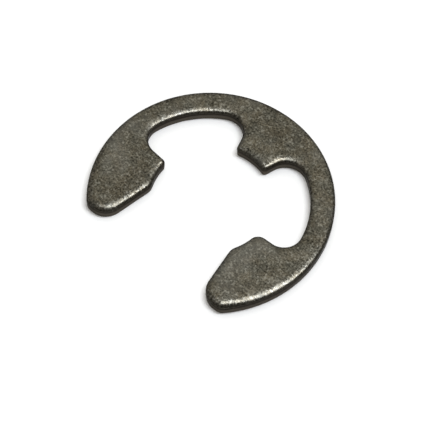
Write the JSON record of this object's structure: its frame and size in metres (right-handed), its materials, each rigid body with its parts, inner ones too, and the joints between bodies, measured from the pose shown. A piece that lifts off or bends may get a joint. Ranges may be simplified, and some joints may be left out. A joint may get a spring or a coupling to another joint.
{
  "type": "e-type retaining ring",
  "caption": "Flat radial retaining ring: an open ring with side prongs, a middle prong and relief hollows, pushed sideways into a shaft groove.",
  "frame": {"origin": "centre of the ring on the burr-side face, which it lies on", "axes": "+Z out of the punched, rounded-edge face; the mouth opens towards -Y and the middle prong stands on +Y"},
  "size_m": [0.0204, 0.0173, 0.0011],
  "materials": {
    "phosphated_steel": "black phosphate on spring steel, fine mottled grain, lightly oiled"
  },
  "bodies": {
    "root": {"e_clip": "phosphated_steel"}
  },
  "joints": []
}
